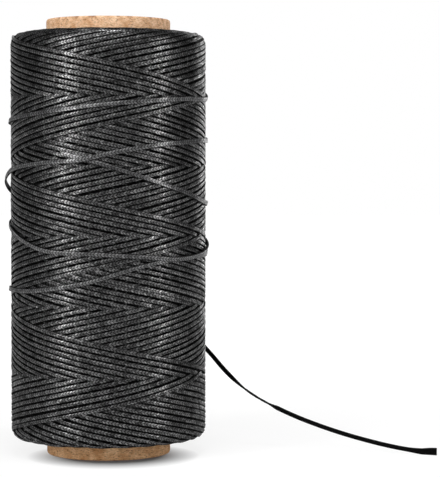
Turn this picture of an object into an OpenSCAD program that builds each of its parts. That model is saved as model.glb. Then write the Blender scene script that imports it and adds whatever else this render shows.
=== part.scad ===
// Waxed thread spool: a spiral-wound paper tube with a cross-wound package of
// flat waxed thread on it. Millimetres, +Z up, origin at the centre of the
// tube's bottom end. The thread's free end comes off the back and runs to +X.

/* [Paper tube] */
// Length of the tube
tube_len = 140; // [132:1:150]
// Bore of the tube
bore_d = 34; // [30:0.5:36]
// Thickness of one paper ply
ply_t = 0.5; // [0.4:0.05:0.6]
// Gap between the two edges of a ply along its spiral seam
seam_gap = 0.4; // [0.2:0.1:0.8]
// Height that a spiral seam climbs in one turn
seam_lead = 100; // [80:5:120]

/* [Winding] */
// Outside diameter of the regular winding
wind_d = 63; // [60:0.5:68]
// Bare tube left below the winding
bare_bottom = 5.3; // [4:0.1:8]
// Bare tube left above the winding
bare_top = 4.2; // [4:0.1:8]
// Radius of the winding's shoulders
shoulder_r = 3.8; // [2:0.1:4.5]
// Arc on each side of a reversal over which the thread turns back, in degrees
turn_back = 30; // [24:1:34]

/* [Thread] */
// Width of the flat thread
thread_w = 1.5; // [1.2:0.1:1.8]
// Thickness of the flat thread
thread_t = 0.5; // [0.4:0.05:0.6]
// Clear gap between one level of thread and the next, over 0.4
level_gap = 0.42; // [0.42:0.02:0.6]

/* [Hidden] */

// Paper tube: plies counted from the bore outwards
body_plies = 4;
face_index = body_plies + 1;
tube_r = bore_d / 2 + (body_plies + 2) * ply_t;
seam_steps = 56;        // facets along a seam
seam_overrun = 0.5;     // overrun of a seam's cut past both faces of its ply
seam_stagger = 75;      // turn from one ply's seam to the next
face_seam = 10;         // azimuth of the face ply's seam at the bottom end
cut = 1;                // overrun of a cut past the face it opens
round_fn = 96;

// Winding: three turns, less an eighth, carry the thread from end to end, so that
// each pair of passes lies a quarter turn behind the pair before
ring_step = 15;
passes = 7;
pass_arc = 360 * (3 - 1 / 8);
wound_arc = passes * pass_arc;
last_reversal = 140;    // azimuth where the last full pass ends, at the top
winding_fit = 0.1;      // clearance of the package on the tube
wind_lo = bare_bottom;
wind_hi = tube_len - bare_top;
strand_lo = wind_lo + shoulder_r;
strand_hi = wind_hi - shoulder_r;
chord_dip = wind_d / 2 * (1 - cos(ring_step / 2));
seat_gap = chord_dip + 0.05;
package_r = wind_d / 2 - 2 * thread_t - level_gap - seat_gap;

// Last turns: [degrees wound since the last reversal, height above the point where
// the thread leaves as a share of the way down, lift off the winding as a share of slack]
leave_z = 43;
slack = 1.3;
LAST_TURNS = [
    [80, 0.91, 0], [140, 0.81, 0], [185, 0.796, 0], [230, 0.775, 0], [275, 0.743, 0],
    [320, 0.722, 0], [410, 0.695, 0], [500, 0.656, 0], [530, 0.651, 0], [560, 0.637, 0],
    [590, 0.604, 0], [605, 0.583, 0], [630, 0.573, 0], [665, 0.543, 0.25], [680, 0.508, 1],
    [695, 0.468, 0.6], [725, 0.424, 0], [780, 0.346, 0], [860, 0.251, 0], [910, 0.233, 0],
    [935, 0.205, 0], [965, 0.151, 0], [1000, 0.12, 0], [1040, 0.118, 0], [1080, 0.094, 0],
    [1120, 0.05, 0], [1155, 0, 0]];
leave_arc = 1155;       // degrees wound when the thread leaves the winding

// Free end: where it runs after leaving the winding, down to its cut end
TAIL = [
    [20, 26, 41.3], [27, 23, 37.2], [34, 19.5, 30], [39, 17.5, 24.3], [44, 15.5, 19.6], [49, 13.5, 16.1],
    [55, 11, 13], [62, 8, 10], [69.5, 4.5, 7.4], [77, 1, 5.2], [84.5, -2.5, 3.4], [92, -6.5, 2],
    [99, -10.5, 1.2], [105.5, -13.5, 0.9]];
tail_steps = 2;         // rings from one point of TAIL to the next

// Sections of the flat thread, as shares of its thickness and width
SIX_SIDES = [[0, -0.5], [0.5, -0.3], [0.5, 0.3], [0, 0.5], [-0.5, 0.3], [-0.5, -0.3]];
EIGHT_SIDES = [[-0.25, -0.5], [0.25, -0.5], [0.5, -0.3], [0.5, 0.3],
               [0.25, 0.5], [-0.25, 0.5], [-0.5, 0.3], [-0.5, -0.3]];

function ease(x) = x * x * (3 - 2 * x);
function level_r(level) = package_r + seat_gap + thread_t / 2 + level * (thread_t + level_gap);

// Degrees wound since the last low reversal, folded back past the high one
function folded(arc) = let (m = arc % (2 * pass_arc)) m < pass_arc ? m : 2 * pass_arc - m;
// The same with its two corners rounded off
function rounded(s) = s < turn_back ? turn_back / 2 + s * s / (2 * turn_back)
    : s > pass_arc - turn_back ? pass_arc - turn_back / 2 - pow(pass_arc - s, 2) / (2 * turn_back)
    : s;
function strand_z(arc) = strand_lo
    + (strand_hi - strand_lo) * (rounded(folded(arc)) - turn_back / 2) / (pass_arc - turn_back);

// Rising passes lie on level 0 and falling ones on level 1, and the thread changes
// level while it turns back. Its two ends stay on level 0.
function strand_level(arc) =
    let (s = folded(arc), rising = arc % (2 * pass_arc) < pass_arc,
         side = rising ? -0.5 : 0.5, near = min(s, pass_arc - s))
    arc < turn_back || arc > wound_arc - turn_back ? 0
    : near < turn_back ? 0.5 + side * ease(near / turn_back) : 0.5 + side;

// A ring of the thread in the half plane at an azimuth, for a climb in mm per degree
function wound_ring(azimuth, r, z, climb, section) =
    let (tall = thread_w * norm([1, climb * 180 / (PI * r)]))
    [for (p = section) [(r + p[0] * thread_t) * cos(azimuth),
                        (r + p[0] * thread_t) * sin(azimuth), z + p[1] * tall]];

// Triangles of a closed tube of rings, seen from outside
function tube_faces(rings, sides) = concat(
    [for (k = [0:rings - 2], s = [0:sides - 1], half = [0, 1])
        let (a = k * sides + s, b = k * sides + (s + 1) % sides)
        half == 0 ? [a, b, a + sides] : [b, b + sides, a + sides]],
    [for (s = [1:sides - 2]) [0, s + 1, s]],
    [for (s = [1:sides - 2]) let (o = (rings - 1) * sides) [o, o + s, o + s + 1]]);

module tube_of(rings) {
    sides = len(rings[0]);
    polyhedron([for (ring = rings, p = ring) p], tube_faces(len(rings), sides));
}

// Value and slope of a table's column at x, smooth through the table's rows
function row_below(table, x) = len([for (row = table) if (row[0] <= x) 1]) - 1;
function row_slope(table, i, column) =
    let (a = table[max(i - 1, 0)], b = table[min(i + 1, len(table) - 1)])
    (b[column] - a[column]) / (b[0] - a[0]);
function smooth_at(table, x, column) =
    let (i = min(row_below(table, x), len(table) - 2), a = table[i], b = table[i + 1],
         span = b[0] - a[0], u = (x - a[0]) / span)
    a[column] * (1 - ease(u)) + b[column] * ease(u)
    + span * (row_slope(table, i, column) * u * pow(1 - u, 2)
              - row_slope(table, i + 1, column) * u * u * (1 - u));

// Regular outer layer
outer_rings = [for (k = [0:wound_arc / ring_step])
    let (arc = k * ring_step)
    [last_reversal + wound_arc - arc, level_r(strand_level(arc)), strand_z(arc),
     strand_z(arc + 0.5) - strand_z(arc - 0.5)]];

// Last turns: they start where the outer layer ends and climb over it
turned_rows = concat(
    [[0, strand_hi, 0], [turn_back, strand_z(wound_arc + turn_back), 0]],
    [for (row = LAST_TURNS) [row[0], leave_z + row[1] * (strand_hi - leave_z), row[2] * slack]]);
last_rings = [for (k = [0:leave_arc / ring_step])
    let (arc = k * ring_step)
    [last_reversal - arc,
     level_r(2 * ease(min(arc / turn_back, 1))) + max(smooth_at(turned_rows, arc, 2), 0),
     arc <= turn_back ? strand_z(wound_arc + arc) : smooth_at(turned_rows, arc, 1),
     smooth_at(turned_rows, arc + 0.5, 1) - smooth_at(turned_rows, max(arc - 0.5, 0), 1)]];

// Free end: it starts on the last ring of the last turns
leave_azimuth = last_reversal - leave_arc;
leave_ring = last_rings[len(last_rings) - 1];
leave_point = [leave_ring[1] * cos(leave_azimuth), leave_ring[1] * sin(leave_azimuth), leave_ring[2]];
tail_rows = concat([leave_point], TAIL);
function tail_slope(i) =
    let (before = max(i - 1, 0), after = min(i + 1, len(TAIL)))
    (tail_rows[after] - tail_rows[before]) / (after - before);
function tail_point(i, u) = tail_rows[i] * (1 - ease(u)) + tail_rows[min(i + 1, len(TAIL))] * ease(u)
    + tail_slope(i) * u * pow(1 - u, 2) - tail_slope(min(i + 1, len(TAIL))) * u * u * (1 - u);
tail_line = concat(
    [for (i = [0:len(TAIL) - 1], k = [0:tail_steps - 1]) tail_point(i, k / tail_steps)],
    [tail_rows[len(TAIL)]]);

// Direction along the free end; at its start, square to the last turns' end face
function tail_along(k) = k == 0 ? [sin(leave_azimuth), -cos(leave_azimuth), 0]
    : let (d = tail_line[min(k + 1, len(tail_line) - 1)] - tail_line[k - 1]) d / norm(d);
function tail_ring(k) =
    let (along = tail_along(k), up = [0, 0, 1] - along[2] * along, wide = up / norm(up),
         flat = cross(wide, along))
    [for (p = EIGHT_SIDES) tail_line[k] + flat * p[0] * thread_t + wide * p[1] * thread_w];

// Least clear gap from a list of wound rings to another, at the azimuths they share
function ring_gap(a, b) = norm([max(abs(a[2] - b[2]) - (tall_of(a) + tall_of(b)) / 2, 0),
                                max(abs(a[1] - b[1]) - thread_t, 0)]);
function tall_of(ring) = thread_w * norm([1, ring[3] * 180 / (PI * ring[1])]);
turn_rings = 360 / ring_step;
function gap_to_itself(rings) = min([for (i = [0:len(rings) - 1 - turn_rings])
    for (j = [i + turn_rings:turn_rings:len(rings) - 1]) ring_gap(rings[i], rings[j])]);
function gap_between(first, second) = min([for (i = [0:len(second) - 1])
    for (j = [(len(first) - 1 + i) % turn_rings:turn_rings:len(first) - 1])
        if (i > 0 || j < len(first) - 1) ring_gap(first[j], second[i])]);
echo(str("least gap of the outer layer to itself ", gap_to_itself(outer_rings), " mm"));
echo(str("least gap of the last turns to themselves ", gap_to_itself(last_rings), " mm"));
echo(str("least gap of the last turns to the layer under them ",
         gap_between(outer_rings, last_rings), " mm"));
echo(str("loops in all ", (wound_arc + leave_arc) / 360));

// One paper ply: a tube slit along its spiral seam
module ply(index) {
    inner_r = bore_d / 2 + index * ply_t;
    difference() {
        cylinder(h = tube_len, r = inner_r + ply_t, $fn = round_fn);
        translate([0, 0, -cut]) cylinder(h = tube_len + 2 * cut, r = inner_r, $fn = round_fn);
        rotate(face_seam - (face_index - index) * seam_stagger)
            translate([0, 0, -cut])
                linear_extrude(height = tube_len + 2 * cut, slices = seam_steps,
                               twist = -360 * (tube_len + 2 * cut) / seam_lead)
                    translate([inner_r - seam_overrun, -seam_gap / 2])
                        square([ply_t + 2 * seam_overrun, seam_gap]);
    }
}

module liner_ply() { color("tan") ply(0); }
module body_ply(number) { color("burlywood") ply(number); }
module face_ply() { color("peru") ply(face_index); }

// The turns under the outer layer, as one solid with rounded shoulders
module thread_package() {
    corner = package_r - shoulder_r;
    seat_r = tube_r + winding_fit;
    color([0.13, 0.13, 0.14])
        rotate_extrude($fn = round_fn)
            difference() {
                union() {
                    translate([0, wind_lo]) square([corner, wind_hi - wind_lo]);
                    translate([0, wind_lo + shoulder_r])
                        square([package_r, wind_hi - wind_lo - 2 * shoulder_r]);
                    for (z = [wind_lo + shoulder_r, wind_hi - shoulder_r])
                        translate([corner, z]) circle(r = shoulder_r, $fn = 48);
                }
                translate([-cut, wind_lo - cut]) square([seat_r + cut, wind_hi - wind_lo + 2 * cut]);
            }
}

module thread_outer_layer() {
    color([0.2, 0.2, 0.21])
        tube_of([for (q = outer_rings) wound_ring(q[0], q[1], q[2], q[3], SIX_SIDES)]);
}

module thread_last_turns() {
    color([0.25, 0.25, 0.26])
        tube_of([for (q = last_rings) wound_ring(q[0], q[1], q[2], q[3], SIX_SIDES)]);
}

module thread_tail() {
    color([0.06, 0.06, 0.07])
        tube_of([for (k = [0:len(tail_line) - 1]) tail_ring(k)]);
}

liner_ply();
for (number = [1:body_plies])
    body_ply(number);
face_ply();
thread_package();
thread_outer_layer();
thread_last_turns();
thread_tail();
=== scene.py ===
import bpy
import numpy as np
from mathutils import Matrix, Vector


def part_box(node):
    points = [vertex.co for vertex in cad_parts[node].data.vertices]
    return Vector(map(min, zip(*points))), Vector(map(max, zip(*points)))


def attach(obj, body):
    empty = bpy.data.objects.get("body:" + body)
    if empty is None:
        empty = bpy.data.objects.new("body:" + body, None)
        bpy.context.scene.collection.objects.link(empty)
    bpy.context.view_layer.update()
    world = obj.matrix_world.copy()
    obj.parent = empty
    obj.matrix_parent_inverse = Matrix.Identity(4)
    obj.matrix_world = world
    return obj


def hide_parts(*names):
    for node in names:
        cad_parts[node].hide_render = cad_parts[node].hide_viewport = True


# Waxed thread spool: a cross-wound package of flat braided thread on a paper tube.
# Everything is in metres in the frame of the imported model, +Z up.

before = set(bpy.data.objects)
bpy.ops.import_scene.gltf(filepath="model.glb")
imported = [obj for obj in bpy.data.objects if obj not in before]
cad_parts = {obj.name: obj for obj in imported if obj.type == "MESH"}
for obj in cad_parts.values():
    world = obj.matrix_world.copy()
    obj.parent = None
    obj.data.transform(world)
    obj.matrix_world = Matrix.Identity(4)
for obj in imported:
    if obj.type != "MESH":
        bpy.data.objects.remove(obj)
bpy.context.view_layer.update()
mm = 0.001
upward = np.array([0, 0, 1.0])
rng = np.random.default_rng(20)


# small tools for arrays and meshes

def unit(vectors):
    # each vector over its own length
    return vectors / np.linalg.norm(vectors, axis=-1, keepdims=True)


def ease(x):
    # 0 below 0, 1 above 1, and the smooth cubic 3x^2 - 2x^3 between
    x = np.clip(x, 0, 1)
    return x * x * (3 - 2 * x)


def wander(count, reach, amount):
    # smooth random drift: white noise run through a bell curve `reach` samples wide,
    # scaled so that its spread is `amount`
    bell = np.exp(-0.5 * (np.arange(-3 * reach, 3 * reach + 1) / reach) ** 2)
    noise = np.convolve(rng.standard_normal(count + 6 * reach), bell, "valid")
    return noise / np.sqrt(np.sum(bell ** 2)) * amount


def smoothAt(table, x):
    # curve through the rows [x, a, b, ...] of a table, a Hermite cubic between two rows
    # with the slope of the chord over their neighbours
    table = np.array(table, float)
    knots, values = table[:, 0], table[:, 1:]
    before = np.maximum(np.arange(len(knots)) - 1, 0)
    after = np.minimum(np.arange(len(knots)) + 1, len(knots) - 1)
    slopes = (values[after] - values[before]) / (knots[after] - knots[before])[:, None]
    i = np.clip(np.searchsorted(knots, x, "right") - 1, 0, len(knots) - 2)
    span = (knots[i + 1] - knots[i])[:, None]
    u = ((x - knots[i])[:, None]) / span
    return (values[i] * (1 - ease(u)) + values[i + 1] * ease(u)
            + span * (slopes[i] * u * (1 - u) ** 2 - slopes[i + 1] * u * u * (1 - u)))


def lengthAlong(line):
    # running sum of the distances from point to point
    return np.concatenate([[0], np.cumsum(np.linalg.norm(np.diff(line, axis=0), axis=1))])


def outwards(angle):
    # level unit vectors [cos a, sin a, 0] away from the tube's axis
    return np.stack([np.cos(angle), np.sin(angle), np.zeros(len(angle))], -1)


def cornerDrop(share, corner):
    # how far a quarter circle r (1 - sqrt(1 - x^2)) has dropped at the share x of its radius
    return corner * (1 - np.sqrt(1 - share ** 2))


def gridQuads(rows, columns):
    # quads of a grid of points that is counted row by row, with the last column joined
    # to the first
    r, c = np.meshgrid(np.arange(rows - 1), np.arange(columns), indexing="ij")
    n = (c + 1) % columns
    quads = [r * columns + c, r * columns + n, (r + 1) * columns + n, (r + 1) * columns + c]
    return np.stack(quads, -1).reshape(-1, 4)


def tubeFaces(rings, sides):
    # the quads of a row of rings, and one face over each of its ends
    first, last = range(sides - 1, -1, -1), range((rings - 1) * sides, rings * sides)
    return gridQuads(rings, sides).tolist() + [list(first), list(last)]


def addMesh(name, points, faces, material, uv=None):
    # a mesh object at the origin; uv holds one pair for each point
    mesh = bpy.data.meshes.new(name)
    mesh.from_pydata(np.asarray(points, float), [], faces)
    mesh.update()
    mesh.shade_smooth()
    if uv is not None:
        corner = np.zeros(len(mesh.loops), np.int32)
        mesh.loops.foreach_get("vertex_index", corner)
        layer = mesh.uv_layers.new(name="thread")
        layer.data.foreach_set("uv", np.asarray(uv, np.float32)[corner].ravel())
    mesh.materials.append(material)
    piece = bpy.data.objects.new(name, mesh)
    bpy.context.scene.collection.objects.link(piece)
    return piece


def markPaintedShade(piece, values):
    # a value for each point: 1 where shade is painted on the thread, dark and without wax
    painted_shade = piece.data.attributes.new("painted_shade", "FLOAT", "POINT")
    painted_shade.data.foreach_set("value", values)


# the thread itself, which every turn and the free end are made of

thread = {"width": 1.34 * mm, "thick": 0.56 * mm,
          "fullness": 4.0,          # 2 is an ellipse, and more is squarer
          "furrow": (0.16, 0.3)}    # depth and width of the furrow, in shares of the half sizes
braid = {"period": 1.05 * mm,       # one yarn along the thread
         "slant": 0.75,             # lean of the yarns, in periods from the middle to the edge
         "relief": 0.05 * mm,       # height of the yarns where they are modelled
         "crest": (0.8, 0.6)}       # how flat the yarns are on top, and their middle level


def ovalSection(sides, fullness):
    # superellipse |x|^n + |y|^n = 1 with n = fullness, as points at even angles
    a = np.arange(sides) * 2 * np.pi / sides
    return np.stack([np.sign(f) * np.abs(f) ** (2 / fullness) for f in (np.cos(a), np.sin(a))], -1)


def tapeSkin(line, out, width, thick, roll, along, sides=12, relief=0.0):
    # Flat thread along a line. Each ring is an oval in the plane square to the line: its
    # thin way points along `out`, and the ring is then rolled about the line. A shallow
    # furrow exp(-(x / w)^2) runs along the middle. relief lifts the yarns of the braid:
    # chevrons |sin(pi (s / period + slant |x|))|^c over the length s and the share x of
    # the half width.
    ahead = unit(np.gradient(line, axis=0))
    side = unit(np.cross(out, ahead))
    up = np.cross(ahead, side)
    c, s = np.cos(roll)[:, None], np.sin(roll)[:, None]
    wide, thin = side * c + up * s, up * c - side * s
    section = ovalSection(sides, thread["fullness"])
    x, y = section[:, 0], section[:, 1]
    deep, broad = thread["furrow"]
    y = y * (1 - deep * np.exp(-(x / broad) ** 2))
    yarn = np.abs(np.sin(np.pi * (along[:, None] / braid["period"] + braid["slant"] * np.abs(x))))
    flat, level = braid["crest"]
    lift = 1 + relief * (yarn ** flat - level) / (thick[:, None] / 2)
    rings = (line[:, None] + wide[:, None] * (x * width[:, None] / 2)[..., None]
             + thin[:, None] * (y * lift * thick[:, None] / 2)[..., None])
    uv = np.stack(np.broadcast_arrays(along[:, None] / braid["period"], x), -1)
    return rings, uv


def addTape(name, rings, uv, material):
    # the rings' quads and a cap at each end
    return addMesh(name, rings.reshape(-1, 3), tubeFaces(*rings.shape[:2]), material,
                   uv.reshape(-1, 2))


# camera: level with the middle of the spool, a little to its right

camera = {"lens": 144.04, "sensor": 36, "clip": (0.01, 20),
          "x": 4.8 * mm, "distance": 620.0 * mm, "height": 92.75 * mm,
          "turn": 2.898, "tilt": 2.152, "roll": -0.062}    # degrees right, down and clockwise


def makeCamera():
    # a long lens, turned by the three angles above
    data = bpy.data.cameras.new("camera")
    data.lens, data.sensor_width = camera["lens"], camera["sensor"]
    data.clip_start, data.clip_end = camera["clip"]
    eye = bpy.data.objects.new("camera", data)
    eye.location = (camera["x"], -camera["distance"], camera["height"])
    eye.rotation_euler = np.radians((90 - camera["tilt"], camera["roll"], -camera["turn"]))
    bpy.context.scene.collection.objects.link(eye)
    bpy.context.scene.camera = eye


makeCamera()
print("camera placed")


# materials

class Nodes:
    # a short way to add shader nodes to a material or world, and to join them
    def __init__(self, name, owner=None):
        self.owner = owner or bpy.data.materials.new(name)
        self.owner.use_nodes = True
        self.tree = self.owner.node_tree
        self.shader = self.tree.nodes.get("Principled BSDF")

    def add(self, kind, **settings):
        node = self.tree.nodes.new("ShaderNode" + kind)
        for key, value in settings.items():
            setattr(node, key, value)
        return node

    def join(self, source, target):
        self.tree.links.new(source, target)

    def feed(self, node, socket, value):
        if isinstance(value, bpy.types.NodeSocket):
            self.join(value, node.inputs[socket])
        elif value is not None:
            node.inputs[socket].default_value = value

    def math(self, operation, a, b=None):
        node = self.add("Math", operation=operation)
        self.feed(node, 0, a)
        self.feed(node, 1, b)
        return node.outputs[0]

    def pair(self, x, y=None):
        node = self.add("CombineXYZ")
        self.feed(node, 0, x)
        self.feed(node, 1, y)
        return node.outputs[0]

    def parts(self, vector):
        node = self.add("SeparateXYZ")
        self.join(vector, node.inputs[0])
        return node.outputs

    def noise(self, vector, scale, detail=3.0, roughness=0.5, distortion=0.0):
        node = self.add("TexNoise")
        self.join(vector, node.inputs["Vector"])
        for socket, value in (("Scale", scale), ("Detail", detail), ("Roughness", roughness),
                              ("Distortion", distortion)):
            node.inputs[socket].default_value = value
        return node.outputs["Fac"]

    def cellNoise(self, x, y):
        node = self.add("TexWhiteNoise", noise_dimensions="2D")
        self.join(self.pair(x, y), node.inputs["Vector"])
        return node.outputs["Value"]

    def blend(self, factor, a, b, how="MIX"):
        node = self.add("Mix", data_type="RGBA", blend_type=how)
        self.feed(node, 0, factor)
        self.feed(node, 6, a)
        self.feed(node, 7, b)
        return node.outputs[2]

    def blendValue(self, factor, a, b):
        node = self.add("Mix", data_type="FLOAT")
        self.feed(node, 0, factor)
        self.feed(node, 2, a)
        self.feed(node, 3, b)
        return node.outputs[0]

    def spread(self, value, low, high, toLow=0.0, toHigh=1.0):
        node = self.add("MapRange", clamp=True)
        for socket, v in enumerate((value, low, high, toLow, toHigh)):
            self.feed(node, socket, v)
        return node.outputs[0]

    def bump(self, height, distance, strength=1.0):
        node = self.add("Bump")
        node.inputs["Distance"].default_value = distance
        node.inputs["Strength"].default_value = strength
        self.join(height, node.inputs["Height"])
        return node.outputs[0]

    def place(self, scale=(1, 1, 1), turn=(0, 0, 0)):
        mapping = self.add("Mapping")
        mapping.inputs["Scale"].default_value = scale
        mapping.inputs["Rotation"].default_value = turn
        self.join(self.add("TexCoord").outputs["Object"], mapping.inputs["Vector"])
        return mapping.outputs[0]

    def shinyRays(self, path):
        return self.math("MAXIMUM", path.outputs["Is Glossy Ray"], path.outputs["Is Transmission Ray"])


def rgb(red, green, blue):
    # a screen colour of 0 to 255 as linear light
    c = np.array([red, green, blue]) / 255
    linear = np.where(c <= 0.04045, c / 12.92, ((c + 0.055) / 1.055) ** 2.4)
    return (*linear.tolist(), 1.0)


# A range gives a pattern's low and high value, and what these two become where that
# isn't 0 and 1.
braidLook = {"edge": (0.74, 0.9), "middle": (0.03, 0.16, 0.7, 0.0),   # painted shade at the middle furrow and the edges, over the half width
             "valleyShade": (0.15, 0.85, 1.0, 0.0),   # painted shade in the valleys, over the height of a yarn
             "crown": (0.03, 0.7),               # height, over the height of a yarn
             "specks": (2.0, 1.7),               # specks in a period, and in the half width
             "fibres": (7.0, 1.3),               # the same for the fibres
             "patches": 260.0,                   # per metre
             "rubbed": 0.04,                     # stretches with more or less wax, per period
             "rubbedRange": (0.35, 0.65),
             "bloom": {"patch": (0.42, 0.68, 0.0, 0.35), "each": (0.2, 1.0, 0.0, 0.9),
                       "fibre": (0.4, 0.75, 0.0, 0.3)},
             "dulled": (0.3, 0.0),               # share of the plain body where wax is rubbed off
             "roughness": (0.3, 0.75, 0.65, 0.5),
             "wax": {"patch": (0.3, 0.6, 0.6, 1.0), "each": (0.1, 0.9, 0.4, 1.0),
                     "speck": (0.1, 0.9), "rubbed": (0.75, 1.5)},
             "speckGain": 0.5,                   # how much brighter the brightest specks are
             "fibreHeight": 0.3, "tilt": 0.75,   # fibres and uneven yarns, in bump depths
             "bump": 0.16 * mm, "waxBump": 0.05 * mm,
             "specular": 0.06, "waxIor": 2.8, "waxRoughness": 0.28}


def waxedThread(name, body, bloom, shadeTone, wax=1.0, relief=1.0, grit=0.7):
    # Flat braid in the thread's own UV map: x counts yarns along it, y runs from edge to
    # edge. The yarns lie in chevrons. Each has its own share of wax on its crown, broken
    # into specks, and some stretches of the thread have more wax than others. Shade is
    # painted: the valleys between the yarns, the furrow down the middle, the thread's edges
    # and what the attribute marks are dark and have no wax.
    n, look = Nodes(name), braidLook
    uv = n.parts(n.add("UVMap", uv_map="thread").outputs[0])
    across = n.math("ABSOLUTE", uv[1])
    turn = n.math("ADD", uv[0], n.math("MULTIPLY", across, braid["slant"]))
    yarn = n.math("ABSOLUTE", n.math("SINE", n.math("MULTIPLY", turn, float(np.pi))))
    each = n.cellNoise(n.math("FLOOR", turn), n.math("SIGN", uv[1]))
    speck = n.cellNoise(*[n.math("FLOOR", n.math("MULTIPLY", coordinate, count))
                          for coordinate, count in zip((turn, uv[1]), look["specks"])])
    fibre = n.noise(n.pair(*[n.math("MULTIPLY", coordinate, count)
                             for coordinate, count in zip((turn, uv[1]), look["fibres"])]),
                    1.0, 2.0, 0.7)
    patch = n.noise(n.place(), look["patches"], 4.0, 0.6)
    rubbed = n.noise(n.pair(n.math("MULTIPLY", uv[0], look["rubbed"])), 1.0, 2.0, 0.6)
    # the painted shade that the mesh marks point by point
    painted_shade = n.add("Attribute", attribute_name="painted_shade").outputs["Fac"]
    # painted shade: a mask of the valleys, the middle furrow, the edges and the attribute's marks
    dark = n.math("MAXIMUM", n.spread(yarn, *look["valleyShade"]), n.spread(across, *look["middle"]))
    dark = n.math("MAXIMUM", n.math("MAXIMUM", dark, n.spread(across, *look["edge"])), painted_shade)

    tone = n.blend(n.spread(patch, *look["bloom"]["patch"]), body, bloom)
    tone = n.blend(n.spread(each, *look["bloom"]["each"]), tone, bloom)
    tone = n.blend(n.spread(fibre, *look["bloom"]["fibre"]), tone, bloom)
    tone = n.blend(n.spread(rubbed, *look["rubbedRange"], *look["dulled"]), tone, body)
    # the masked places take the dark tone of the painted shade
    n.join(n.blend(dark, tone, shadeTone), n.shader.inputs["Base Color"])
    n.join(n.spread(patch, *look["roughness"]), n.shader.inputs["Roughness"])

    share = n.math("MULTIPLY", n.spread(patch, *look["wax"]["patch"]),
                   n.spread(each, *look["wax"]["each"]))
    # no wax where shade is painted
    share = n.math("MULTIPLY", share, n.math("SUBTRACT", 1.0, dark))
    share = n.math("MULTIPLY", share, n.spread(speck, *look["wax"]["speck"], 1.0 - grit,
                                               1.0 + look["speckGain"] * grit))
    share = n.math("MULTIPLY", share, n.spread(rubbed, *look["rubbedRange"], *look["wax"]["rubbed"]))
    n.join(n.math("MULTIPLY", share, wax), n.shader.inputs["Coat Weight"])
    n.shader.inputs["Specular IOR Level"].default_value = look["specular"]
    n.shader.inputs["Coat IOR"].default_value = look["waxIor"]
    n.shader.inputs["Coat Roughness"].default_value = look["waxRoughness"]

    height = n.math("ADD", n.spread(yarn, *look["crown"]),
                    n.math("MULTIPLY", fibre, look["fibreHeight"]))
    n.join(n.bump(height, look["bump"], relief), n.shader.inputs["Normal"])
    tilt = n.math("MULTIPLY", n.math("SUBTRACT", each, 0.5), n.math("FRACT", turn))
    height = n.math("ADD", height, n.math("MULTIPLY", tilt, look["tilt"]))
    n.join(n.bump(height, look["waxBump"], relief), n.shader.inputs["Coat Normal"])
    return n.owner


paperLook = {"lean": 32.0,                           # degrees that the fibres lean
             "clouds": 430.0, "fibres": 620.0, "flecks": 1150.0,      # per metre
             "stretch": (5, 3),                      # how drawn out fibres and flecks are
             "cloudRange": (0.38, 0.66, 0.0, 0.85),
             "fibreRange": (0.44, 0.64), "fibreShare": 0.8,
             "fleckRange": (0.53, 0.7, 0.0, 0.75),
             "foot": (6 * mm, 30 * mm), "footPaintedShade": (1.0, 0.94, 0.8, 1.0),  # painted shade: warmer and a little darker down here
             "rim": (138.8 * mm, 139.9 * mm), "rimSpots": (0.5, 0.6), "rimShare": 0.7,
             "roughness": 0.86, "specular": 0.25,
             "bump": 0.12 * mm, "bumpStrength": 0.8, "fibreHeight": 0.7, "fleckHeight": 0.3}


def kraftPaper(name, pale, dark, fleck, streak=1.0, worn=0.0):
    # Uncoated paper: broad clouds, fibres drawn out along the strip that it was wound
    # from, and fine dark flecks. Worn paper is grubby in spots at its top edge; the same
    # setting paints shade at its foot, warmer and a little darker there.
    n, look = Nodes(name), paperLook
    lean = (0, np.radians(look["lean"]), 0)
    clouds = n.noise(n.place(), look["clouds"], 5.0, 0.6)
    fibres = n.noise(n.place((1, 1, look["stretch"][0]), lean), look["fibres"], 5.0, 0.7, 0.6)
    flecks = n.noise(n.place((1, 1, look["stretch"][1]), lean), look["flecks"], 2.0, 0.6)
    tone = n.blend(n.spread(clouds, *look["cloudRange"]), pale, dark)
    tone = n.blend(n.spread(fibres, *look["fibreRange"], 0.0, look["fibreShare"] * streak), tone, dark)
    tone = n.blend(n.spread(flecks, *look["fleckRange"]), tone, fleck)
    z = n.parts(n.place())[2]
    # painted shade: warmer and a little darker towards the foot
    tone = n.blend(n.spread(z, *look["foot"], worn, 0.0), tone, look["footPaintedShade"], "MULTIPLY")
    rim = n.math("MULTIPLY", n.spread(z, *look["rim"], 0.0, worn), n.spread(clouds, *look["rimSpots"]))
    tone = n.blend(n.math("MULTIPLY", rim, look["rimShare"]), tone, fleck)
    n.join(tone, n.shader.inputs["Base Color"])
    n.shader.inputs["Roughness"].default_value = look["roughness"]
    n.shader.inputs["Specular IOR Level"].default_value = look["specular"]
    grain = n.math("ADD", n.math("MULTIPLY", fibres, look["fibreHeight"]),
                   n.math("MULTIPLY", flecks, look["fleckHeight"]))
    n.join(n.bump(grain, look["bump"], look["bumpStrength"]), n.shader.inputs["Normal"])
    return n.owner


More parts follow.
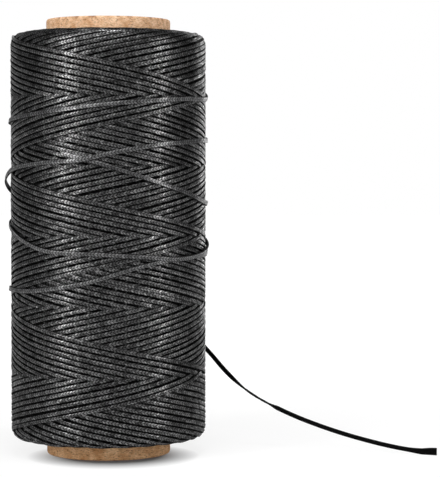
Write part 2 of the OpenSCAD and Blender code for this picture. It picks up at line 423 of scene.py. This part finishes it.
# One thread in four copies. The loose and free ones are painted lighter than the wound one, with less
# dark grooves: painted light where the thread lies loose over the winding.
threads = {
    "wound": {"body": rgb(12, 12, 12), "bloom": rgb(69, 69, 70), "shadeTone": rgb(0, 0, 0)},
    "loose": {"body": rgb(53, 53, 54), "bloom": rgb(98, 98, 99), "shadeTone": rgb(18, 18, 18),
              "wax": 0.85, "relief": 0.3, "grit": 0.3},
    "free": {"body": rgb(53, 53, 54), "bloom": rgb(98, 98, 99), "shadeTone": rgb(1, 1, 1),
             "wax": 0.85, "relief": 0.5, "grit": 0.3},
    "inner": {"body": rgb(24, 24, 24), "bloom": rgb(58, 58, 59), "shadeTone": rgb(3, 3, 3),
              "wax": 0.8}}
papers = {
    "face_kraft": {"pale": rgb(246, 211, 176), "dark": rgb(202, 148, 103),
                   "fleck": rgb(116, 74, 42), "worn": 1.0},
    "liner_kraft": {"pale": rgb(184, 152, 118), "dark": rgb(150, 120, 90),
                    "fleck": rgb(92, 70, 50)},
    "core_board": {"pale": rgb(168, 144, 116), "dark": rgb(134, 112, 88),
                   "fleck": rgb(84, 68, 52), "streak": 1.4}}
woundThread, looseThreadPaintedLighter, freeThreadPaintedLighter, innerThread = [
    waxedThread(f"{name}_thread", **look) for name, look in threads.items()]
faceKraft, linerKraft, coreBoard = [kraftPaper(name, **look) for name, look in papers.items()]
print("materials made")


# paper tube: the face ply and the liner are new, the body plies keep their solids

tube = {"ply": 0.5 * mm, "seamGap": 0.4 * mm, "seamLead": 100 * mm,
        "faceSeam": 10.0, "stagger": 75.0, "plies": 6,      # degrees, and plies in the wall
        "fray": (3, 0.07 * mm),          # columns over which a cut end frays, and its spread
        "footFray": 0.2,                 # share of that at the foot
        "columns": 240, "rows": 46,
        "wear": (1.1 * mm, 0.42 * mm),   # height and depth of the face ply's worn edges
        "wearRows": 8,
        "sharp": 40}                     # degrees from which an edge is sharp


def makePly(name, node, index, material):
    # One ply: the rectangle of its wall, carried round from one edge of its spiral seam to
    # the other. The seam's azimuth grows evenly with height. The cut ends are frayed by a
    # small drift in height, and the face ply's corners are worn to a quarter of an oval.
    low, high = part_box(node)
    outer = high.x
    inside = outer - tube["ply"]
    rows, columns = tube["rows"], tube["columns"]
    z = np.linspace(low.z, high.z, rows)
    tall, deep = tube["wear"] if index == tube["plies"] - 1 else (1, 0)
    if deep:
        end = tall * np.linspace(0, 1, tube["wearRows"]) ** 2
        z = np.concatenate([low.z + end, z[1:-1], (high.z - end)[::-1]])
        rows = len(z)
    fromEnd = np.minimum(z - low.z, high.z - z)
    worn = cornerDrop(np.clip(1 - fromEnd / tall, 0, 1), deep)
    wall = np.concatenate([np.stack([outer - worn, z], -1),
                           np.stack([np.full(rows, inside), z[::-1]], -1)])
    seam = np.radians(tube["faceSeam"] - (tube["plies"] - 1 - index) * tube["stagger"])
    start = seam + 2 * np.pi * wall[:, 1] / tube["seamLead"]
    gap = tube["seamGap"] / wall[:, 0]
    v = np.linspace(0, 1, columns)[:, None]
    azimuth = start + gap / 2 + v * (2 * np.pi - gap)
    fray = wander(columns, *tube["fray"])[:, None]
    fray = fray * ((wall[:, 1] == high.z) * 1.0 - (wall[:, 1] == low.z) * tube["footFray"])
    middle = (low.z + high.z) / 2
    height = np.clip(wall[:, 1] - np.abs(fray) * np.sign(wall[:, 1] - middle), 0, None)
    points = np.stack([wall[:, 0] * np.cos(azimuth), wall[:, 0] * np.sin(azimuth), height], -1)
    ring = 2 * rows
    faces = gridQuads(columns, ring).tolist()
    cap = [[i, i + 1, ring - 2 - i, ring - 1 - i] for i in range(rows - 1)]
    end = (columns - 1) * ring
    faces += [face[::-1] for face in cap] + [[end + i for i in face] for face in cap]
    ply = addMesh(name, points.reshape(-1, 3), [f[::-1] for f in faces], material)
    ply.data.set_sharp_from_angle(angle=np.radians(tube["sharp"]))
    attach(ply, "root")
    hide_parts(node)
    return ply


makePly("face_paper", "face_ply", 5, faceKraft)
makePly("liner_paper", "liner_ply", 0, linerKraft)
for number in range(1, 5):
    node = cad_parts[f"body_ply_{number}"]
    node.data.materials.clear()
    node.data.materials.append(coreBoard)
print("paper tube made")


# winding: one thread, up and down the tube, each pair of passes beside the last

winding = {"radius": 31.5 * mm,          # over the strands that lie on top
           "pitch": 44.036 * mm,         # climb of one turn
           "pairs": 25,                  # risings and fallings that close the pattern
           "high": 136.56 * mm,          # where straight passes would meet at the top
           "crowd": (127 * mm, 1.0 * mm),  # strands lie closer above the first height, which
                                         # brings that meeting down by the second
           "turnBack": (9 / 360, 17 / 360),  # turns that round a reversal at the bottom and the top
           "newest": (273.5, 80.2 * mm),  # azimuth and height on the newest rising pass
           "topCorner": 4.4 * mm, "bottomCorner": 3.6 * mm,
           "cornerShare": 0.97,          # how far in from its edge a strand lies on a corner
           "floor": 5.0 * mm, "ceiling": 136.0 * mm,
           "dip": 0.54 * mm,             # how far a covered strand lies below its cover
           "step": 2.5 / 360,            # turns from ring to ring
           "lengths": 3}                 # pieces that the thread is cut in
unevenness = {"waver": (14, 0.075 * mm), "sway": (60, 0.07 * mm),   # of a strand's height
              "radius": (8, 0.022 * mm), "width": (10, 0.035), "thick": (10, 0.05),
              "roll": (9, np.radians(5))}     # each: rings over which it drifts, and its spread
passTurns = 3 - 1 / (2 * winding["pairs"])
lowMeet = winding["high"] - passTurns * winding["pitch"]
strandStep = winding["pitch"] / winding["pairs"]
lastAzimuth = (winding["newest"][0]
               + 360 * (winding["newest"][1] - winding["high"]) / winding["pitch"])


def turnsUp(u):
    # a triangle wave: turns above the bottom meeting, after u turns
    s = u % (2 * passTurns)
    return np.where(s < passTurns, s, 2 * passTurns - s)


def woundHeight(u):
    # height after u turns: the triangle wave between the two meeting heights, with each
    # corner replaced by a parabola, and the top crowded by a square term
    s = turnsUp(u)
    low, top = winding["turnBack"]
    far = passTurns - s
    s = np.where(s < low, low / 2 + s * s / (2 * low), s)
    s = np.where(far < top, passTurns - top / 2 - far * far / (2 * top), s)
    z = lowMeet + winding["pitch"] * s
    start, sink = winding["crowd"]
    return z - sink * (np.clip(z - start, 0, None) / (winding["high"] - start)) ** 2


def shoulder(z):
    # drop of the winding's radius at height z and the lean of its surface: a quarter
    # circle at each end
    top, bottom = winding["topCorner"], winding["bottomCorner"]
    over = np.clip((z - winding["ceiling"] + top) / top, 0, winding["cornerShare"])
    under = np.clip((winding["floor"] + bottom - z) / bottom, 0, winding["cornerShare"])
    return cornerDrop(over, top) + cornerDrop(under, bottom), np.arcsin(over) - np.arcsin(under)


def onTop(u, azimuth, z):
    # 1 where a strand lies over the strands of the other direction, 0 where it lies under
    # them. Both families are counted in strand steps from the oldest: a strand covers all
    # that were laid before it, so it is on top while the other family's count is lower.
    pairs, pitch = winding["pairs"], winding["pitch"]
    index = np.floor(u / passTurns).astype(int)
    pair, rising = index // 2, index % 2 == 0
    climb = pitch * azimuth / 360
    newestRise = winding["newest"][1] + pitch * winding["newest"][0] / 360
    newestFall = newestRise - 2 * winding["high"]
    rise = ((z + climb - newestRise) / strandStep + pairs - 0.5) % pairs
    fall = ((climb - z - newestFall) / strandStep + pairs - 0.5) % pairs
    other = np.where(rising, fall, rise)
    start = np.where(rising, -1.0, 0.0)
    end = np.where(rising, pair, pair + 1.0)
    inside = np.minimum(other - start, end - other)
    wrapped = np.minimum(other - start - pairs, end + pairs - other)
    cover = ease(np.maximum(inside, wrapped) / 0.5 + 0.5)
    return np.where(rising & (pair == pairs - 1), 1.0, cover)


def makeWinding():
    # the regular outer turns, as one thread cut into lengths
    total = (2 * winding["pairs"] - 1) * passTurns
    count = int(round(total / winding["step"])) + 1
    u = np.linspace(0, total, count)
    azimuth = lastAzimuth + 360 * (total - u)
    level = onTop(u, azimuth, lowMeet + winding["pitch"] * turnsUp(u))
    level = np.convolve(np.pad(level, 2, "edge"), [0.1, 0.2, 0.4, 0.2, 0.1], "valid")  # softened
    z = (woundHeight(u) + wander(count, *unevenness["waver"])
         + wander(count, *unevenness["sway"]))
    drop, lean = shoulder(z)
    r = (winding["radius"] - thread["thick"] / 2 - (1 - level) * winding["dip"] - drop
         + wander(count, *unevenness["radius"]))
    radial = outwards(np.radians(azimuth))
    line = radial * r[:, None] + upward * z[:, None]
    out = radial * np.cos(lean)[:, None] + upward * np.sin(lean)[:, None]
    width = thread["width"] * (1 + wander(count, *unevenness["width"]))
    thick = thread["thick"] * (1 + wander(count, *unevenness["thick"]))
    roll = wander(count, *unevenness["roll"])
    rings, uv = tapeSkin(line, out, width, thick, roll, lengthAlong(line))
    coveredShade = 1 - ease(level * 2 - 0.3)       # painted shade: dark and without wax from where a strand starts to dip
    cuts = np.linspace(0, count - 1, winding["lengths"] + 1).astype(int)
    for part, (a, b) in enumerate(zip(cuts[:-1], cuts[1:]), 1):
        piece = addTape(f"wound_thread_{part}", rings[a:b + 1], uv[a:b + 1], woundThread)
        markPaintedShade(piece, np.repeat(coveredShade[a:b + 1], rings.shape[1]))
        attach(piece, "root")
        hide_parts("thread_outer_layer")


makeWinding()
print("outer turns wound")


# inner turns: the body under the outer turns, and the bows that show at its ends

inner = {"wall": 1.45 * mm,       # from the outside of the winding to the inner body
         "end": 1.3 * mm,         # from the bows' tops to the inner body's ends
         "clear": 0.02 * mm,      # from the tube to the inner body
         "columns": 180, "cornerRows": 9,
         "stripe": 2 * mm}        # height of the pattern on its side, with painted shade at each stripe's edges
bows = {"layers": 22, "count": 25, "rings": 9, "sides": 6, "fullness": 2.4,
        "firstRadius": 20.28 * mm,           # of the innermost layer
        "lastWall": 1.3 * mm,                # from the outside of the winding to the outermost
        "reach": 26.0, "rise": 1.5 * mm,     # degrees from a bow's top to its end, and its drop there
        "drift": 0.42,                       # outward over half a bow, in steps from layer to layer
        "shift": 0.37,                       # how far each layer is turned, in shares of a bow
        "sunk": 0.05 * mm,                   # least depth of the tops under the end face
        "spread": (1.6, 0.22 * mm, 0.06 * mm),   # of azimuth in degrees, depth and radius
        "outerEdge": 0.6 * mm,               # from a bow's middle to where it meets the corner
        "shown": 0.7}                        # share of the half width at which the edges show


def makeInnerBody():
    # surface of revolution: a closed outline of a wall with a quarter circle at each
    # outer corner
    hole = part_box("face_ply")[1].x + inner["clear"]
    radius = winding["radius"] - inner["wall"]
    low, high = winding["floor"] + inner["end"], winding["ceiling"] - inner["end"]
    a = np.linspace(0, np.pi / 2, inner["cornerRows"])
    bottom, top = winding["bottomCorner"], winding["topCorner"]
    outline = np.concatenate([
        [[hole, low]],
        np.stack([radius - bottom + bottom * np.sin(a), low + bottom - bottom * np.cos(a)], -1),
        np.stack([radius - top + top * np.cos(a), high - top + top * np.sin(a)], -1),
        [[hole, high]]])
    columns, ring = inner["columns"], len(outline)
    angle = np.arange(columns + 1) * 2 * np.pi / columns
    points = np.stack([np.outer(np.cos(angle), outline[:, 0]), np.outer(np.sin(angle), outline[:, 0]),
                       np.tile(outline[:, 1], (columns + 1, 1))], -1)
    uv = np.stack(np.broadcast_arrays((angle * radius / braid["period"])[:, None],
                                      np.sin(outline[:, 1] / inner["stripe"])), -1)
    quads = gridQuads(columns + 1, ring) % (columns * ring)    # the last ring is the first
    body = addMesh("inner_turns", points[:-1].reshape(-1, 3), quads.tolist(), innerThread,
                   uv[:-1].reshape(-1, 2))
    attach(body, "root")
    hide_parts("thread_package")


def makeBows(name, sign, face):
    # The reversals of the buried layers, as the end face shows them: in each layer, an
    # even round of short arcs on edge. An arc rises to its top as a parabola and drifts
    # outwards along its length, so that each lies over the one before.
    layers, count, rings, sides = bows["layers"], bows["count"], bows["rings"], bows["sides"]
    shape = (layers, count)
    swing, uneven, wobble = bows["spread"]
    layer = np.arange(layers)[:, None] + np.zeros(shape)
    middle = 360 / count * (np.arange(count) + bows["shift"] * np.arange(layers)[:, None])
    middle = middle + rng.normal(0, swing, shape)
    top = face - sign * (bows["sunk"] + np.abs(rng.normal(0, uneven, shape)))
    step = (winding["radius"] - bows["lastWall"] - bows["firstRadius"]) / (layers - 1)
    radius = bows["firstRadius"] + layer * step + rng.normal(0, wobble, shape)
    corner = winding["topCorner"] if sign > 0 else winding["bottomCorner"]
    over = np.clip((radius + bows["outerEdge"] - winding["radius"] + corner) / corner,
                   0, winding["cornerShare"])
    top = top - sign * cornerDrop(over, corner)
    t = np.linspace(-1, 1, rings)
    azimuth = np.radians(middle[..., None] + bows["reach"] * t)
    r = radius[..., None] + bows["drift"] * step * t
    z = top[..., None] - sign * (bows["rise"] * t ** 2)
    section = ovalSection(sides, bows["fullness"])
    x = section[:, 0] * thread["width"] / 2
    y = section[:, 1] * thread["thick"] / 2
    rr = r[..., None] + y
    zz = z[..., None] + sign * (x - thread["width"] / 2)
    points = np.stack([rr * np.cos(azimuth)[..., None], rr * np.sin(azimuth)[..., None],
                       np.broadcast_to(zz, rr.shape)], -1)
    one = tubeFaces(rings, sides)
    if sign > 0:
        one = [bowFace[::-1] for bowFace in one]
    offsets = np.arange(layers * count) * rings * sides
    faces = [[v + o for v in bowFace] for o in offsets.tolist() for bowFace in one]
    along = np.broadcast_to((azimuth * radius[..., None])[..., None] / braid["period"], rr.shape)
    uv = np.stack(np.broadcast_arrays(along, bows["shown"] * section[:, 0]), -1)
    piece = addMesh(name, points.reshape(-1, 3), faces, innerThread, uv.reshape(-1, 2))
    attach(piece, "root")


makeInnerBody()
makeBows("top_bows", 1, winding["ceiling"])
makeBows("bottom_bows", -1, winding["floor"])
print("inner turns made")


# last turns: the loose end of the winding, which lies over the rest

lastTurns = {"from": 140.0,            # azimuth where the route's angles start
             "reversal": 132 * mm,     # height of the last reversal
             "leave": (32.19 * mm, 43 * mm),   # radius and height where the free end leaves
             "slack": 1.3 * mm,        # how far a share of 1 stands off
             "width": 1.5 * mm,        # slack, so wider than the wound thread
             "seat": 0.4 * mm,         # from the winding's outside to the thread's middle
             "bed": (25, 0.5 * mm),    # degrees over which an end sinks in, and how deep
             "step": 0.5,              # degrees from ring to ring
             "sides": 16,
             "relief": 0.25,           # share of the yarns' height
             "drifts": {"height": (30, 0.05 * mm), "width": (20, 0.04),
                        "roll": (40, np.radians(9))},
             "route": [  # degrees wound, share of the way down, share of slack
                 [-44.6, 1.024, 0], [0, 1.0, 0], [30, 0.979, 0], [80, 0.91, 0], [140, 0.81, 0],
                 [185, 0.796, 0], [230, 0.775, 0], [275, 0.743, 0], [320, 0.722, 0],
                 [410, 0.695, 0], [500, 0.656, 0], [530, 0.651, 0], [560, 0.637, 0],
                 [590, 0.604, 0], [605, 0.583, 0.32], [630, 0.573, 0], [665, 0.543, 0.25],
                 [680, 0.508, 1], [695, 0.468, 0.6], [725, 0.424, 0], [780, 0.346, 0],
                 [860, 0.251, 0], [910, 0.233, 0], [935, 0.205, 0], [965, 0.151, 0],
                 [1000, 0.12, 0], [1040, 0.118, 0], [1080, 0.094, 0], [1120, 0.05, 0],
                 [1155, 0, 0]]}

# a turn that has slipped: it comes down behind, sags across the front, climbs behind and
# crosses the front again to where it goes under the last turns
slipped = {"top": 96.0 * mm, "bottom": 64.0 * mm,
           "route": [[-262, 0.31, 0], [-240, 0.2, 0], [-207, 0.062, 0.3], [-191, 0.018, 0.46],
                     [-171, -0.006, 0.48], [-148, 0.027, 0.2], [-124, 0.053, 0], [-104, 0.058, 0],
                     [-90, 0.087, 0], [-75, 0.161, 0], [-59, 0.25, 0], [-40, 0.33, 0],
                     [0, 0.4, 0], [28, 0.423, 0.46], [60, 0.45, 0], [120, 0.51, 0],
                     [158, 0.551, 0], [183, 0.659, 0], [203, 0.756, 0], [220, 0.851, 0],
                     [232, 0.919, 0], [243, 0.972, 0], [258, 1.03, 0]]}


def layRoute(name, route, top, bottom, leave=None):
    # a loose thread over the winding along a table of [degrees wound, share of the way
    # from bottom to top, share of slack]. Its ends are bedded into the winding, but for
    # one that leaves it at a given radius and height.
    route = np.array(route)
    arc = np.arange(route[0, 0], route[-1, 0] + 0.01, lastTurns["step"])
    count = len(arc)
    share, lift = smoothAt(route, arc).T
    z = bottom + share * (top - bottom) + wander(count, *lastTurns["drifts"]["height"])
    bedArc, bedDepth = lastTurns["bed"]
    first = 1 - ease((arc - arc[0]) / bedArc)
    last = ease((arc - arc[-1] + bedArc) / bedArc)
    r = (winding["radius"] + lastTurns["seat"] + np.clip(lift, 0, None) * lastTurns["slack"]
         - shoulder(z)[0] - first * bedDepth)
    if leave:
        r = r + last * (leave[0] - r)
        z = z + last * (leave[1] - z)
    else:
        r = r - last * bedDepth
    radial = outwards(np.radians(lastTurns["from"] - arc))
    line = radial * r[:, None] + upward * z[:, None]
    width = lastTurns["width"] * (1 + wander(count, *lastTurns["drifts"]["width"]))
    roll = wander(count, *lastTurns["drifts"]["roll"])
    rings, uv = tapeSkin(line, radial, width, np.full(count, thread["thick"]), roll,
                         lengthAlong(line), lastTurns["sides"], lastTurns["relief"] * braid["relief"])
    piece = addTape(name, rings, uv, looseThreadPaintedLighter)
    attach(piece, "root")
    return piece, line


loose, looseLine = layRoute("last_turns", lastTurns["route"], lastTurns["reversal"],
                            lastTurns["leave"][1], lastTurns["leave"])
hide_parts("thread_last_turns")
layRoute("slipped_turn", slipped["route"], slipped["top"], slipped["bottom"])
print("last turns laid")


# free end: the route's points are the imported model's

tail = {"route": [(20, 26, 41.3), (27, 23, 37.2), (34, 19.5, 30), (39, 17.5, 24.3),
                  (44, 15.5, 19.6), (49, 13.5, 16.1), (55, 11, 13), (62, 8, 10),
                  (69.5, 4.5, 7.4), (77, 1, 5.2), (84.5, -2.5, 3.4), (92, -6.5, 2),
                  (99, -10.5, 1.2), (105.5, -13.5, 0.9)],      # millimetres
        "step": 0.15 * mm, "sides": 16,
        "twist": [(20, 0), (39, 6), (45.5, 76), (49, 84), (51.5, 68), (54, 90), (57, 160),
                  (62, 180), (106, 180)],   # x in millimetres, degrees turned over
        "width": 1.48 * mm,           # slack, so wider than the wound thread
        "thick": 1.15,                # in thicknesses of the wound thread
        "flare": (11 * mm, 0.65, 0.2),   # length of the flattened cut end, growth and thinning
        "clear": 0.05 * mm,           # between the thread's edge and the floor
        "tailShade": (16 * mm, 33 * mm, 0.997)}   # x where painted shade starts and ends, near black and without wax, and how far


def makeTail():
    # flat thread along a smooth curve through the route, its width upright, turned over
    # slowly where it runs down, with a cut end that opens out
    knots = np.concatenate([[looseLine[-1]], np.array(tail["route"]) * mm])
    s = lengthAlong(knots)
    t = np.arange(0, s[-1], tail["step"])
    line = smoothAt(np.concatenate([s[:, None], knots], 1), t)
    along = lengthAlong(line)
    length = along[-1]
    out = unit(np.cross(unit(np.gradient(line, axis=0)), upward))
    roll = np.radians(smoothAt(tail["twist"],
                               np.maximum(line[:, 0] / mm, tail["twist"][0][0])).ravel())
    flare, growth, thinning = tail["flare"]
    end = ease((along - length + flare) / flare)
    width = tail["width"] * (1 + growth * end)
    line[:, 2] = np.maximum(line[:, 2], width / 2 + tail["clear"])
    thick = thread["thick"] * (tail["thick"] - thinning * end)
    rings, uv = tapeSkin(line, out, width, thick, roll, along, tail["sides"], braid["relief"])
    piece = addTape("free_end", rings, uv, freeThreadPaintedLighter)
    # painted shade: away from the winding the free end turns near black, with no wax
    start, stop, most = tail["tailShade"]
    tailShade = most * ease((line[:, 0] - start) / (stop - start))
    markPaintedShade(piece, np.repeat(tailShade, rings.shape[1]))
    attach(piece, "root")
    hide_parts("thread_tail")
    print("free end", round(float(length) * 1000, 1), "mm")


makeTail()


# stage: a pale floor, white behind, soft studio light

floor = {"half": 3.0,
         "grey": (0.72, 0.2),              # for light that bounces, and for the camera
         "paintedShadowMiddle": (1.5 * mm, -9.0 * mm, 0),    # middle of the painted shadow under the tube
         "near": (15 * mm, 28 * mm, 0.03, 0.825),    # glow over the distance from there, low near it: the painted shadow
         "far": (80 * mm, 450 * mm, 0.0, 0.2),       # what is added to it farther out
         "behind": (0.25, 1.0)}            # where reflections start to show it white


def makeFloor():
    # a wide plane that the camera sees white but for the object's shadow, partly cast by the
    # lamps and partly painted as a dip in its glow
    corners = np.array([[-1, -1, 0], [1, -1, 0], [1, 1, 0], [-1, 1, 0]]) * floor["half"]
    n = Nodes("floor")
    n.tree.nodes.remove(n.shader)
    plain = n.add("BsdfDiffuse")
    place = n.place()
    away = n.add("VectorMath", operation="DISTANCE")
    away.inputs[1].default_value = floor["paintedShadowMiddle"]
    n.join(place, away.inputs[0])
    away = away.outputs["Value"]
    path = n.add("LightPath")
    lit, shown = [(grey, grey, grey, 1) for grey in floor["grey"]]
    n.join(n.blend(path.outputs["Is Camera Ray"], lit, shown), plain.inputs[0])
    behind = n.math("MULTIPLY", n.shinyRays(path), n.spread(n.parts(place)[1], *floor["behind"]))
    seen = n.math("MAXIMUM", path.outputs["Is Camera Ray"], behind)
    glow = n.add("Emission")
    # painted shadow: the glow is low near the tube and rises away from it
    level = n.math("ADD", n.spread(away, *floor["near"]), n.spread(away, *floor["far"]))
    n.join(n.math("MULTIPLY", seen, level), glow.inputs[1])
    both = n.add("AddShader")
    n.join(plain.outputs[0], both.inputs[0])
    n.join(glow.outputs[0], both.inputs[1])
    n.join(both.outputs[0], n.tree.nodes["Material Output"].inputs[0])
    addMesh("floor", corners, [[0, 1, 2, 3]], n.owner)


studio = {"room": 0.01,                   # how bright the room before the object reflects
          "fill": 0.16,                   # light from all round
          "edge": 0.85, "blur": 0.2}      # where the white backdrop starts, and half its soft edge


def makeWorld():
    # a studio with a white backdrop behind the object and a dim room before it; the camera
    # sees white all round
    n = Nodes("studio", bpy.data.worlds.new("studio"))
    bpy.context.scene.world = n.owner
    direction = n.parts(n.add("TexCoord").outputs["Generated"])
    backdrop = n.spread(direction[1], studio["edge"] - studio["blur"],
                        studio["edge"] + studio["blur"], studio["room"], 1.0)
    path = n.add("LightPath")
    level = n.blendValue(n.shinyRays(path), studio["fill"], backdrop)
    level = n.blendValue(path.outputs["Is Camera Ray"], level, 1.0)
    light = n.tree.nodes["Background"]
    light.inputs[0].default_value = (1, 1, 1, 1)
    n.join(level, light.inputs[1])


# azimuth from the camera's side (left is negative) and height in degrees, distance and
# size in metres, power in watts
lamps = {"key": {"azimuth": -48, "height": 12, "distance": 0.9, "size": (0.13, 0.8), "power": 5.2},
         "side": {"azimuth": 64, "height": 12, "distance": 0.9, "size": (0.11, 0.8), "power": 3.6},
         "rim": {"azimuth": 150, "height": 8, "distance": 0.9, "size": (0.1, 0.8), "power": 2.0},
         "front": {"azimuth": -12, "height": 42, "distance": 1.1, "size": (1.2, 0.5), "power": 5.2},
         "top": {"azimuth": 10, "height": 80, "distance": 1.0, "size": (0.2, 0.2), "power": 2.8}}


def makeLamps():
    # large rectangular lamps on a sphere about the spool, each turned towards its middle
    middle = Vector((0, 0, 70 * mm))
    for name, lamp in lamps.items():
        data = bpy.data.lights.new(name, "AREA")
        data.shape = "RECTANGLE"
        data.size, data.size_y = lamp["size"]
        data.energy = lamp["power"]
        a, e = np.radians(lamp["azimuth"]), np.radians(lamp["height"])
        back = Vector((np.sin(a) * np.cos(e), -np.cos(a) * np.cos(e), np.sin(e)))
        light = bpy.data.objects.new(name, data)
        light.location = middle + back * lamp["distance"]
        light.rotation_euler = back.to_track_quat("Z", "Y").to_euler()
        bpy.context.scene.collection.objects.link(light)


makeFloor()
makeWorld()
makeLamps()
bpy.context.scene.view_settings.view_transform = "Standard"
print("stage lit")
